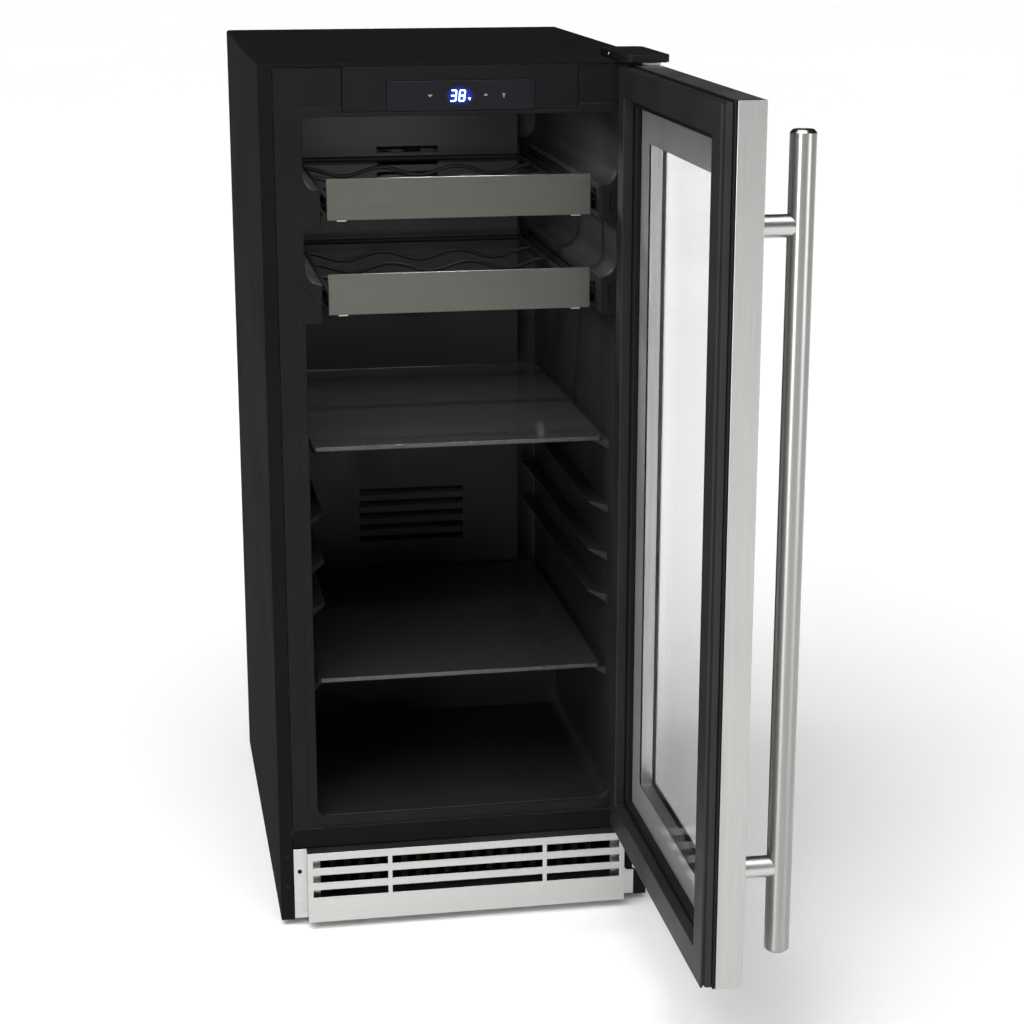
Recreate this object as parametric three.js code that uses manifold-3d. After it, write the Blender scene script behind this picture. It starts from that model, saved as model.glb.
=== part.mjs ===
// Undercounter wine cooler with a glass door, two pull-out bottle racks and two glass shelves.
//
// Millimetres. X runs to the right, Y to the back and Z up. The origin is on the floor, under
// the middle of the cabinet. Everything hangs in one cabinet group, whose own Y = 0 is the
// cabinet's front plane and whose own Z = 0 is the cabinet's underside. The door is drawn
// closed in that frame and then turned open about its hinge pins.
import * as THREE from 'three';
import { mergeVertices } from 'three/addons/utils/BufferGeometryUtils.js';
import Module from 'manifold-3d';

const wasm = await Module();
wasm.setup();

// ---------------------------------------------------------------- driving dimensions

const cabinetWidth = 379;
const cabinetHeight = 856;
const cabinetDepth = 510;
const footPad = 6; // the cabinet's underside stands this high above the floor
const sheet = 1.2; // steel sheet
const gap = 0.3; // air between neighbouring pieces

const post = 13.3; // front return of the shell on each side
const openingHalf = 150; // half the width of the inside
const openingLow = 110;
const openingHigh = 807;
const linerWall = 2;
const linerBack = 430; // inner face of the back wall
const frameDepth = 3.5; // the front frame's back face
const lipWidth = 9; // rolled lip round the opening

const ribHalf = 134; // half the width between the rack ribs
const ribFillet = openingHalf - ribHalf;
const ribs = [
  { low: 613, top: 666 },
  { low: 704, top: 754 },
];
const ledgeTops = [242.5, 321, 365, 415, 481];

const humpFront = 290; // the compressor hump in the floor of the inside
const humpTop = 235;

const doorHalf = 188;
const doorLow = 91.3;
const doorHigh = 853.3;
const doorFront = -39.2;
const doorBack = -1.9;
const wrapBack = -15.1; // where the steel wrap ends and the black profile begins
const windowInset = 67;
const hinge = { x: 174.35, y: -31.65 };
const openAngle = Math.PI / 2;

const handle = { x: -156, y: -78.5, radius: 11, low: 109, high: 827 };
const handlePostHeights = [189.4, 749.6];
const handlePostRadius = 9.5;

const racks = [
  { name: 'upper', low: 709 },
  { name: 'lower', low: 618.5 },
];
const fasciaHalf = 127;
const fasciaHeight = 39;
const rackBack = 385;
const shelves = [
  { name: 'upper', ledge: 481 },
  { name: 'lower', ledge: 242.5 },
];
const shelfHalf = 144;
const shelfThickness = 4.5;
const shelfFront = 27;
const shelfBack = 395;

const half = cabinetWidth / 2;
const inner = half - sheet;
const back = cabinetDepth;

// ---------------------------------------------------------------- geometry helpers

/** A box between two corners, each side given as [low, high]. */
function block(x, y, z) {
  const geometry = new THREE.BoxGeometry(x[1] - x[0], y[1] - y[0], z[1] - z[0]);
  return geometry.translate((x[0] + x[1]) / 2, (y[0] + y[1]) / 2, (z[0] + z[1]) / 2);
}

/** A shape pushed out along an axis. X takes (Y, Z) shapes, Y takes (X, Z), Z takes (X, Y). */
function extrude(axis, shape, [low, high], curveSegments = 4) {
  const options = { depth: high - low, bevelEnabled: false, curveSegments };
  const geometry = new THREE.ExtrudeGeometry(shape, options);
  if (axis === 'x') {
    const [x, y, z] = [0, 1, 2].map((row) => new THREE.Vector3().setComponent(row, 1));
    geometry.applyMatrix4(new THREE.Matrix4().makeBasis(y, z, x));
    return geometry.translate(low, 0, 0);
  }
  if (axis === 'y') {
    geometry.rotateX(Math.PI / 2);
    return geometry.translate(0, high, 0);
  }
  return geometry.translate(0, 0, low);
}

/** A profile of [radius, height] points, anticlockwise, turned about Z at (x, y). */
function lathe(profile, x, y, segments = 20) {
  const points = profile.map(([radius, height]) => new THREE.Vector2(radius, height));
  const geometry = new THREE.LatheGeometry(points, segments);
  geometry.rotateX(Math.PI / 2);
  return geometry.translate(x, y, 0);
}

/** A round bar about Z at (x, y), between two heights. */
function bar(radius, x, y, [low, high], segments = 20) {
  return lathe([[0, low], [radius, low], [radius, high], [0, high]], x, y, segments);
}

/** A round bar along X or Y, given its centre line's other two coordinates. */
function barAlong(axis, radius, [low, high], across, height, segments = 6) {
  const geometry = new THREE.CylinderGeometry(radius, radius, high - low, segments);
  const middle = (low + high) / 2;
  if (axis === 'x') {
    geometry.rotateZ(Math.PI / 2);
    return geometry.translate(middle, across, height);
  }
  return geometry.translate(across, middle, height);
}

function polygon(points) {
  return new THREE.Shape(points.map(([x, y]) => new THREE.Vector2(x, y)));
}

function roundedRect([x0, x1], [y0, y1], radius) {
  const shape = new THREE.Shape();
  const quarter = Math.PI / 2;
  shape.moveTo(x0 + radius, y0);
  shape.absarc(x1 - radius, y0 + radius, radius, -quarter, 0);
  shape.absarc(x1 - radius, y1 - radius, radius, 0, quarter);
  shape.absarc(x0 + radius, y1 - radius, radius, quarter, 2 * quarter);
  shape.absarc(x0 + radius, y0 + radius, radius, 2 * quarter, 3 * quarter);
  return shape;
}

function toSolid(geometry) {
  const bare = geometry.clone();
  bare.deleteAttribute('normal');
  bare.deleteAttribute('uv');
  const merged = mergeVertices(bare, 1e-4);
  const vertProperties = merged.attributes.position.array;
  const triVerts = new Uint32Array(merged.index.array);
  return new wasm.Manifold(new wasm.Mesh({ numProp: 3, vertProperties, triVerts }));
}

function toGeometry(solid) {
  const mesh = solid.getMesh();
  const geometry = new THREE.BufferGeometry();
  const positions = Float32Array.from(mesh.vertProperties);
  geometry.setAttribute('position', new THREE.BufferAttribute(positions, 3));
  geometry.setIndex(new THREE.BufferAttribute(Uint32Array.from(mesh.triVerts), 1));
  return geometry;
}

function join(...geometries) {
  return toGeometry(geometries.map(toSolid).reduce((body, piece) => body.add(piece)));
}

function cut(geometry, ...tools) {
  const start = toSolid(geometry);
  return toGeometry(tools.map(toSolid).reduce((body, tool) => body.subtract(tool), start));
}

function common(first, second) {
  return toGeometry(toSolid(first).intersect(toSolid(second)));
}

/** A flat ring between two rectangles, lying across Y. */
function ring(outerX, outerZ, innerX, innerZ, y) {
  return cut(block(outerX, y, outerZ), block(innerX, [y[0] - 1, y[1] + 1], innerZ));
}

function both(x) {
  return [-x, x];
}

// ---------------------------------------------------------------- materials

function finish(color, roughness, metalness = 0) {
  return new THREE.MeshStandardMaterial({ color, roughness, metalness });
}

const paint = {
  blackSteel: finish(0x222326, 0.45, 0.3),
  greySteel: finish(0x8d8f92, 0.45, 0.8),
  stainless: finish(0xc8c9c6, 0.3, 1),
  blackPlastic: finish(0x1b1c1e, 0.6),
  glossBlack: finish(0x08090b, 0.12),
  foam: finish(0xd9c999, 0.9),
  rubber: finish(0x121213, 0.8),
  copper: finish(0xb87047, 0.35, 1),
  aluminium: finish(0xb4b6b8, 0.4, 1),
  board: finish(0x2f5a3a, 0.6),
  lamp: finish(0xf2f4f6, 0.5),
  brushedGrey: finish(0x5a5953, 0.4, 0.9),
  clearGlass: finish(0xcfd8d6, 0.05),
  smokedGlass: finish(0x4a4c4d, 0.08),
  whitePlastic: finish(0xdadcdc, 0.5),
};

// ---------------------------------------------------------------- scene graph

const group = new THREE.Group();
const cabinet = new THREE.Group();
cabinet.position.set(0, -cabinetDepth / 2, footPad);
group.add(cabinet);

const doorPivot = new THREE.Group();
doorPivot.position.set(hinge.x, hinge.y, 0);
doorPivot.rotation.z = openAngle;
cabinet.add(doorPivot);
const door = new THREE.Group();
door.position.set(-hinge.x, -hinge.y, 0);
doorPivot.add(door);

function piece(name, geometry, material, parent = cabinet) {
  const mesh = new THREE.Mesh(geometry, material);
  mesh.name = name;
  parent.add(mesh);
}

// ---------------------------------------------------------------- opening outline

/** The outline of the inside seen from the front, with its rack ribs, grown by a margin. */
function openingShape(grow) {
  const wall = openingHalf + grow;
  const face = ribHalf + grow;
  const floorRadius = 12;
  const ceilingRadius = 6;
  const ribCorner = 4;
  const swing = Math.acos(grow / (ribFillet + grow));
  const path = new THREE.Path();
  const floorCentre = openingLow + floorRadius;
  const ceilingCentre = openingHigh - ceilingRadius;
  path.moveTo(openingHalf - floorRadius, openingLow - grow);
  path.absarc(openingHalf - floorRadius, floorCentre, floorRadius + grow, -Math.PI / 2, 0);
  for (const rib of ribs) {
    const low = rib.low + grow;
    path.lineTo(wall, low);
    path.absarc(face + ribCorner, low + ribCorner, ribCorner, -Math.PI / 2, -Math.PI, true);
    path.absarc(ribHalf, rib.top, ribFillet + grow, -swing, 0);
  }
  path.absarc(openingHalf - ceilingRadius, ceilingCentre, ceilingRadius + grow, 0, Math.PI / 2);
  const right = path.getPoints(4);
  const left = right.map((point) => new THREE.Vector2(-point.x, point.y)).reverse();
  return new THREE.Shape([...right, ...left]);
}

/** The space inside the liner, or that space grown by a wall, with the hump left standing. */
function insideSpace(grow, y) {
  const hump = block(both(400), [humpFront + grow, 1000], [0, humpTop - grow]);
  return cut(extrude('y', openingShape(grow), y), hump);
}

// ---------------------------------------------------------------- cabinet

function buildShell() {
  const radius = 3;
  const outline = new THREE.Shape();
  outline.moveTo(-half, 0);
  outline.lineTo(half, 0);
  outline.absarc(half - radius, cabinetHeight - radius, radius, 0, Math.PI / 2);
  outline.absarc(-half + radius, cabinetHeight - radius, radius, Math.PI / 2, Math.PI);
  const rearReturn = 10;
  const rearY = back - 3.2;
  const hollow = block(both(inner), [sheet, rearY], [-1, cabinetHeight - sheet]);
  const mouth = block(both(half - post), [-1, sheet + 1], [-1, cabinetHeight - 3]);
  const rearMouth = block(both(inner - rearReturn), [rearY - 1, back], [-1, cabinetHeight - 12]);
  const rearSeat = block(both(inner), [rearY + sheet, back + 1], [-1, cabinetHeight - sheet]);
  const shell = cut(extrude('y', outline, [0, back]), hollow, mouth, rearMouth, rearSeat);
  piece('outer_shell', shell, paint.blackSteel);

  const vents = [];
  for (const x of [-95, 55]) {
    for (let row = 0; row < 8; row += 1) {
      vents.push(block([x - 45, x + 45], [0, 1000], [60 + row * 14, 66 + row * 14]));
    }
  }
  const panelX = both(inner - gap);
  const panelY = [rearY + sheet + gap, back - 0.5];
  const inletHole = block([131.7, 168.3], [0, 1000], [19.7, 54.3]);
  const panel = block(panelX, panelY, [2, cabinetHeight - sheet - gap]);
  piece('rear_panel', cut(panel, inletHole, ...vents), paint.blackSteel);

  const floorY = [4, rearY - 0.5];
  const pan = block(both(inner - gap), floorY, [0, 20]);
  const panHollow = block(both(inner - gap - sheet), [0, 1000], [1.5, 21]);
  const studHoles = footPlaces().map(([x, y]) => bar(5, x, y, [-1, 3], 16));
  const stiffener = block(both(130), [80, 430], [-1, 0.5]);
  piece('base_pan', join(cut(pan, panHollow, ...studHoles), stiffener), paint.greySteel);

  const stepY = humpFront + linerWall + 2.5;
  const stepTop = 213;
  const deck = 88;
  const zPlate = polygon([
    [4, deck],
    [stepY + 1.5, deck],
    [stepY + 1.5, stepTop - 1.5],
    [rearY - 0.5, stepTop - 1.5],
    [rearY - 0.5, stepTop],
    [stepY, stepTop],
    [stepY, deck + 1.5],
    [4, deck + 1.5],
  ]);
  piece('machine_deck', extrude('x', zPlate, both(inner - gap)), paint.greySteel);

  const foamBlock = block(both(inner - gap), [4, rearY - gap], [deck + 1.8, cabinetHeight - 1.5]);
  const machineRoom = block(both(400), [stepY - gap, 1000], [0, stepTop + gap]);
  const liner = insideSpace(linerWall + gap, [0, linerBack + linerWall + gap]);
  const headerPocket = block(both(116), [0, 30], [openingHigh + 4, 852]);
  const foam = cut(foamBlock, machineRoom, liner, headerPocket);
  piece('foam_insulation', foam, paint.foam);
}

function footPlaces() {
  const places = [];
  for (const y of [40, 470]) {
    for (const x of [-170, 170]) {
      places.push([x, y]);
    }
  }
  return places;
}

function buildFeet() {
  const profile = [[0, -6], [15, -6], [16, -5], [16, -2.5], [13, -0.6], [4, -0.6], [4, 34], [0, 34]];
  footPlaces().forEach(([x, y], index) => {
    const side = x < 0 ? 'left' : 'right';
    const end = index < 2 ? 'front' : 'rear';
    piece(`foot_${end}_${side}`, lathe(profile, x, y, 16), paint.rubber);
  });
}

/** One moulded shelf ledge: flat on top, sloping below and tapered at its front end. */
function ledge(side, top) {
  const section = [
    [openingHalf + 0.5, top],
    [ribHalf, top],
    [ribHalf, top - 2],
    [openingHalf + 0.5, top - 9],
  ];
  const plan = [
    [openingHalf + 1, 24],
    [openingHalf + 1, 418],
    [ribHalf - 1, 418],
    [ribHalf - 1, 45],
  ];
  const mirrored = (points) => polygon(points.map(([x, y]) => [side * x, y]));
  const beam = extrude('y', mirrored(section), [24, 418]);
  return common(beam, extrude('z', mirrored(plan), [top - 20, top + 1]));
}

function buildLiner() {
  const outside = insideSpace(linerWall, [frameDepth + gap, linerBack + linerWall]);
  const inside = insideSpace(0, [0, linerBack]);
  const ledges = [-1, 1].flatMap((side) => ledgeTops.map((top) => ledge(side, top)));
  piece('inner_liner', join(cut(outside, inside), ...ledges), paint.blackPlastic);
}

function buildFront() {
  const frameHalf = half - post - gap;
  const headerLow = openingHigh + 4;
  const plate = block(both(frameHalf), [sheet, frameDepth], [97.3, cabinetHeight - 3.3]);
  const lip = extrude('y', openingShape(lipWidth), [-1, frameDepth]);
  const hole = extrude('y', openingShape(0), [-2, frameDepth + 1]);
  const headerHole = block(both(111.8), [-2, sheet + 5], [headerLow, cabinetHeight]);
  piece('front_frame', cut(join(plate, lip), hole, headerHole), paint.blackPlastic);

  const stripX = both(70);
  const headerZ = [headerLow + gap, cabinetHeight - 3.3];
  const header = block(both(111.5), [0, frameDepth], headerZ);
  const seat = block(both(70 + gap), [-1, 1.2], [headerLow - 1, 839.3]);
  piece('header_cover', cut(header, seat), paint.blackPlastic);
  piece('control_strip', block(stripX, [-0.8, 0.9], [headerLow + gap, 839]), paint.glossBlack);
  piece('display_module', block([-42, 52], [4, 8], [813, 835]), paint.board);
  const board = block(both(66), [10, 11.6], [812, 840]);
  const chip = block([-20, 6], [11, 15], [818, 834]);
  const relay = block([30, 48], [11, 24], [816, 836]);
  const plug = block([-58, -40], [11, 20], [818, 832]);
  piece('control_board', join(board, chip, relay, plug), paint.board);

  const railFace = block(both(frameHalf), [0, sheet], [78, 96.9]);
  const railFoot = block(both(frameHalf), [0, 24], [78, 78 + sheet]);
  piece('lower_front_rail', join(railFace, railFoot), paint.blackSteel);
}

function buildToeGrille() {
  const duct = block(both(163), [-15, 45], [1.9, 77]);
  const hollow = block(both(163 - sheet), [-15 + sheet, 46], [1.9 + sheet, 77 - sheet]);
  const flange = half - post - gap;
  const slots = [];
  for (const low of [29, 45, 61]) {
    for (const x of [[-157.5, -81.75], [-77.25, 77.25], [81.75, 157.5]]) {
      slots.push(block(x, [-16, -13], [low, low + 8]));
    }
  }
  const flanges = [-1, 1].map((side) => {
    const x = side < 0 ? [-flange, -162.5] : [162.5, flange];
    return block(x, [-sheet, 0], [1.9, 77]);
  });
  piece('toe_grille', join(cut(duct, hollow, ...slots), ...flanges), paint.stainless);
}

// ---------------------------------------------------------------- cooling and electrics

/** A finned heat exchanger: fins across X joined by a back sheet. */
function finBlock(x, y, z, count) {
  const pitch = (x[1] - x[0]) / count;
  const points = [[x[0], y[1]]];
  for (let fin = 0; fin < count; fin += 1) {
    const left = x[0] + fin * pitch;
    const middle = left + 0.45 * pitch;
    points.push([left, y[0]], [middle, y[0]], [middle, y[1] - 4]);
    if (fin < count - 1) {
      points.push([left + pitch, y[1] - 4]);
    }
  }
  points.push([x[0] + (count - 0.55) * pitch, y[1]]);
  return extrude('z', polygon(points), z);
}

/** An axial fan wheel about Y with pitched blades on a hub. */
function fanWheel(x, y, z, radius, hubRadius, blades) {
  const width = y[1] - y[0];
  const middle = (y[0] + y[1]) / 2;
  const hub = new THREE.CylinderGeometry(hubRadius, hubRadius, width, 16);
  const parts = [hub];
  for (let index = 0; index < blades; index += 1) {
    const blade = new THREE.BoxGeometry(radius - hubRadius + 4, 1.4, hubRadius * 1.5);
    blade.rotateX(0.45);
    blade.translate((radius + hubRadius - 6) / 2, 0, 0);
    blade.rotateY((index * 2 * Math.PI) / blades);
    parts.push(blade);
  }
  const hull = new THREE.CylinderGeometry(radius, radius, width, 24);
  return common(join(...parts), hull).translate(x, middle, z);
}

function buildCooling() {
  const coverX = both(125);
  const grilles = [];
  for (let row = 0; row < 5; row += 1) {
    grilles.push(block(both(60), [390, 420], [280 + row * 14, 286 + row * 14]));
    grilles.push(block(both(34), [390, 420], [672 + row * 14, 678 + row * 14]));
  }
  const cover = block(coverX, [400, 402.5], [250, 795]);
  piece('evaporator_cover', cut(cover, ...grilles), paint.blackPlastic);
  piece('evaporator_coil', finBlock(both(110), [405, 428], [440, 640], 16), paint.aluminium);
  const evapWheel = fanWheel(0, [405, 415], 704, 38, 12, 5);
  piece('evaporator_fan_blade', evapWheel, paint.blackPlastic);
  const motor = barAlong('y', 20, [415.5, 429.5], 0, 704, 16);
  piece('evaporator_fan_motor', motor, paint.blackPlastic);
  const probe = barAlong('y', 3, [360, 390], 146, 560, 8);
  const clip = block([144, 149.7], [370, 378], [553, 567]);
  piece('temperature_probe', join(probe, clip), paint.whitePlastic);
  const lamp = roundedRect(both(62), [74, 88], 3);
  piece('led_lamp', extrude('z', lamp, [800.6, openingHigh - gap]), paint.lamp);

  const domes = [[0, 12], [58, 12], [60, 16], [60, 120], [52, 142], [30, 154], [0, 158]];
  piece('compressor', lathe(domes, -85, 400, 20), paint.blackSteel);
  piece('condenser_coil', finBlock([-150, 150], [50, 92], [6, 76], 20), paint.copper);
  const fan = { x: 70, z: 80, radius: 56 };
  const shroudPlate = block([5, 140], [300, 304], [4, 156]);
  const mouth = barAlong('y', fan.radius + 3, [295, 310], fan.x, fan.z, 24);
  const hubPlate = barAlong('y', 20, [300, 304], fan.x, fan.z, 12);
  const spoke = block([fan.x - 5, fan.x + 5], [300, 304], [5, 155]);
  piece('condenser_fan_bracket', join(cut(shroudPlate, mouth), hubPlate, spoke), paint.greySteel);
  const wheel = fanWheel(fan.x, [305, 325], fan.z, fan.radius, 16, 5);
  piece('condenser_fan_blade', wheel, paint.blackPlastic);
  const tray = block([0, 120], [330, 490], [4, 26]);
  const trayHollow = block([2, 118], [332, 488], [6, 27]);
  piece('drain_pan', cut(tray, trayHollow), paint.blackPlastic);
  const inlet = block([132, 168], [484, back - 0.4], [20, 54]);
  const socket = block([138, 162], [492, back + 1], [28, 46]);
  piece('power_inlet', cut(inlet, socket), paint.blackPlastic);
}

// ---------------------------------------------------------------- inside fittings

/** A wire bent into shallow cradles between the rack's side bars. */
function cradleWire(y, z) {
  const pitch = 82;
  const dip = 9;
  const steps = 12;
  const ends = 123;
  const points = [];
  for (let index = 0; index <= steps; index += 1) {
    const x = -ends + (2 * ends * index) / steps;
    const swing = Math.cos((2 * Math.PI * x) / pitch);
    points.push(new THREE.Vector3(x, y, z - (dip * (1 + swing)) / 2));
  }
  const section = new THREE.Shape();
  section.absarc(0, 0, 2.2, 0, 2 * Math.PI);
  const extrudePath = new THREE.CatmullRomCurve3(points);
  return new THREE.ExtrudeGeometry(section, { steps, extrudePath, curveSegments: 5 });
}

function buildRack({ name, low }) {
  const middle = low + 14;
  const fasciaShape = roundedRect(both(fasciaHalf), [low, low + fasciaHeight], 1.5);
  piece(`${name}_rack_fascia`, extrude('y', fasciaShape, [13, 16]), paint.brushedGrey);
  const bars = [-1, 1].map((side) => barAlong('y', 3, [16.5, rackBack], side * 123.5, middle));
  const crossBars = [19.6, rackBack - 2.5].map((y) => barAlong('x', 3, both(124), y, middle));
  const wires = [70, 148, 226, 304].map((y) => cradleWire(y, middle));
  const strut = block(both(60), [16.5, 19.5], [low + 4, low + 30]);
  piece(`${name}_rack_frame`, join(...bars, ...crossBars, ...wires, strut), paint.blackPlastic);
  for (const [side, sign] of [['left', -1], ['right', 1]]) {
    const span = (a, b) => (sign < 0 ? [-b, -a] : [a, b]);
    const web = block(span(132.7, 133.7), [20, 380], [middle - 10, middle + 10]);
    const flanges = [-1, 1].map((end) => {
      const z = middle + 9.5 * end;
      return block(span(130.4, 133), [20, 380], [z - 0.5, z + 0.5]);
    });
    piece(`${name}_rail_${side}`, join(web, ...flanges), paint.blackSteel);
    const runnerWeb = block(span(127.1, 128.5), [18, 378], [middle - 7, middle + 7]);
    const runnerTongue = block(span(128.4, 132.3), [18, 378], [middle - 1.5, middle + 1.5]);
    const runner = join(runnerWeb, runnerTongue);
    piece(`${name}_runner_${side}`, runner, paint.blackSteel);
  }
}

function buildShelf({ name, ledge: height }) {
  const plan = roundedRect(both(shelfHalf), [shelfFront, shelfBack], 3);
  const low = height + gap;
  piece(`${name}_glass_shelf`, extrude('z', plan, [low, low + shelfThickness]), paint.smokedGlass);
}

// ---------------------------------------------------------------- hinges

function buildHinges() {
  const top = cabinetHeight + gap;
  const capX = [146, 189];
  const plate = extrude('z', roundedRect([150, 186], [-44, 66], 6), [top, top + 3]);
  const pinHole = bar(4.3, hinge.x, hinge.y, [-10, 1000], 16);
  piece('top_hinge_bracket', cut(plate, pinHole), paint.greySteel);
  piece('top_hinge_pin', bar(4, hinge.x, hinge.y, [842, top + 4], 16), paint.greySteel);
  const capOutside = extrude('z', roundedRect(capX, [-48, 71], 8), [top, 863.5]);
  const capInside = extrude('z', roundedRect([148, 187], [-46, 69], 7), [top - 1, 861.3]);
  piece('hinge_cover', cut(capOutside, capInside), paint.blackPlastic);

  const arm = extrude('z', roundedRect([158, 188], [-44, -1.6], 6), [85.4, 88.4]);
  const leaf = extrude('y', roundedRect([165, 188], [30, 88.4], 5), [-4.5, -1.6]);
  piece('bottom_hinge_bracket', cut(join(arm, leaf), pinHole), paint.blackSteel);
  piece('bottom_hinge_pin', bar(4, hinge.x, hinge.y, [84, 103], 16), paint.greySteel);

  const bush = (flange, low, high, flangeLow, flangeHigh) => {
    const profile = flange < 0
      ? [[4.3, flangeLow], [9, flangeLow], [9, flangeHigh], [6, flangeHigh], [6, high], [4.3, high]]
      : [[4.3, low], [6, low], [6, flangeLow], [9, flangeLow], [9, flangeHigh], [4.3, flangeHigh]];
    return lathe([...profile, profile[0]], hinge.x, hinge.y, 16);
  };
  piece('top_hinge_bush', bush(1, 839, 0, 853.6, 855.6), paint.whitePlastic, door);
  piece('bottom_hinge_bush', bush(-1, 0, 106, 88.8, 91), paint.whitePlastic, door);
}

// ---------------------------------------------------------------- door

function buildDoor() {
  const doorX = both(doorHalf);
  const doorZ = [doorLow, doorHigh];
  const inset = (range, amount) => [range[0] + amount, range[1] - amount];
  const window = { x: inset(doorX, windowInset), z: inset(doorZ, windowInset) };
  const wrapBody = block(doorX, [doorFront, wrapBack], doorZ);
  const wrapHollow = block(inset(doorX, sheet), [doorFront + sheet, 0], inset(doorZ, sheet));
  const aperture = block(window.x, [doorFront - 1, 0], window.z);
  const pinHoles = bar(6.3, hinge.x, hinge.y, [0, 1000], 16);
  const wrap = cut(wrapBody, wrapHollow, aperture, pinHoles);
  piece('door_outer_frame', wrap, paint.stainless, door);

  const paneX = inset(doorX, windowInset - 14);
  const paneZ = inset(doorZ, windowInset - 14);
  const foamX = inset(doorX, sheet + gap);
  const foamZ = inset(doorZ, sheet + gap);
  const pockets = bar(7, hinge.x, hinge.y, [0, 110], 16);
  const upperPocket = bar(7, hinge.x, hinge.y, [836, 1000], 16);
  const core = ring(foamX, foamZ, inset(paneX, -gap), inset(paneZ, -gap), [-37.7, -22.4]);
  piece('door_insulation', cut(core, pockets, upperPocket), paint.foam, door);

  piece('outer_glass', block(paneX, [-37.7, -33.7], paneZ), paint.clearGlass, door);
  const spacer = ring(paneX, paneZ, inset(paneX, 11), inset(paneZ, 11), [-33.4, -22.4]);
  piece('glass_spacer', spacer, paint.aluminium, door);
  const innerPaneX = inset(doorX, 33);
  const innerPaneZ = inset(doorZ, 33);
  piece('inner_glass', block(innerPaneX, [-22.1, -18.3], innerPaneZ), paint.clearGlass, door);

  const frameHoleX = inset(doorX, 37);
  const frameHoleZ = inset(doorZ, 37);
  const seat = ring(foamX, foamZ, frameHoleX, frameHoleZ, [-18, -14]);
  const flange = ring(doorX, doorZ, frameHoleX, frameHoleZ, [wrapBack + gap, -12.2]);
  const relief = bar(7, hinge.x, hinge.y, [0, 1000], 16);
  piece('door_inner_frame', cut(join(seat, flange), relief), paint.blackPlastic, door);

  const sealX = [-doorHalf + 1.5, 180];
  const sealZ = inset(doorZ, 1.5);
  const seal = ring(sealX, sealZ, inset(doorX, 29), inset(doorZ, 29), [-11.9, doorBack]);
  piece('door_gasket', seal, paint.rubber, door);

  const chamfer = 3;
  const grip = lathe(
    [
      [0, handle.low],
      [handle.radius - chamfer, handle.low],
      [handle.radius, handle.low + chamfer],
      [handle.radius, handle.high - chamfer],
      [handle.radius - chamfer, handle.high],
      [0, handle.high],
    ],
    handle.x,
    handle.y,
    28,
  );
  piece('handle_bar', grip, paint.stainless, door);
  const clearance = bar(handle.radius + gap, handle.x, handle.y, [0, 1000], 28);
  for (const [name, height] of [['lower', handlePostHeights[0]], ['upper', handlePostHeights[1]]]) {
    const reach = [handle.y + 4, doorFront - gap];
    const stud = barAlong('y', handlePostRadius, reach, handle.x, height, 20);
    piece(`${name}_handle_post`, cut(stud, clearance), paint.stainless, door);
  }
}

buildShell();
buildFeet();
buildLiner();
buildFront();
buildToeGrille();
buildCooling();
racks.forEach(buildRack);
shelves.forEach(buildShelf);
buildHinges();
buildDoor();

export default group;
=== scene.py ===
import logging
import math
from collections.abc import Callable, Iterator
from contextlib import contextmanager
from dataclasses import dataclass, field
from enum import Enum

import bmesh
import bpy
from mathutils import Matrix, Vector


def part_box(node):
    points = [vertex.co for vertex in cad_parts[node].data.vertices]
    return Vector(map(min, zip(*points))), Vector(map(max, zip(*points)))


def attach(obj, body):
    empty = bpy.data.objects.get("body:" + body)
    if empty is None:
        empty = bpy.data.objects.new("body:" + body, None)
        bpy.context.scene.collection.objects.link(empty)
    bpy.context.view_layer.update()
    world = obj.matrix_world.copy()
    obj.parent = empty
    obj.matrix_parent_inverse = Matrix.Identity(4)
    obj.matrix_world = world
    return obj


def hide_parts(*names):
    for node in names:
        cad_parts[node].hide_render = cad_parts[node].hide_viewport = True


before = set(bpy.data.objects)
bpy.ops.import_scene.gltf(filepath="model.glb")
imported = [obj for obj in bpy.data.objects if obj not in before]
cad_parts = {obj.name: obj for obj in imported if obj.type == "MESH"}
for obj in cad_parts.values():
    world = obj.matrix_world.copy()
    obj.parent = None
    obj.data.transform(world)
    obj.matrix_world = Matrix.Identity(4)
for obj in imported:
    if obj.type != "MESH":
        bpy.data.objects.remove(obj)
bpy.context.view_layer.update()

MM = 0.001
QUARTER = math.pi / 2
LEFT, RIGHT = Vector((-1, 0, 0)), Vector((1, 0, 0))
FRONT, BACK = Vector((0, -1, 0)), Vector((0, 1, 0))
DOWN, UP = Vector((0, 0, -1)), Vector((0, 0, 1))
FACING = 0.9
EVEN = (1.0, 1.0, 1.0)
MARKS = "handling marks"
BUMP_DEPTH = 0.1 * MM
SMOOTH_ANGLE = math.radians(55)
MERGE_DISTANCE = 0.02 * MM
FLAT_ANGLE = math.radians(0.5)
Triple = tuple[float, float, float]
Colour = Triple
Piece = bpy.types.Object
log = logging.getLogger("wine_cooler")


# ---------------------------------------------------------------- finishes


class Texture(Enum):
    """How the surface of a finish is worked."""

    BRUSHED = "brushed lines"
    MOULDED = "moulded grain"
    PAINTED = "orange peel"


class Along(Enum):
    """The direction that brushed lines run in, as a stretch of the pattern."""

    X = (0.02, 1.0, 1.0)
    Y = (1.0, 0.02, 1.0)
    Z = (1.0, 1.0, 0.02)


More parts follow.
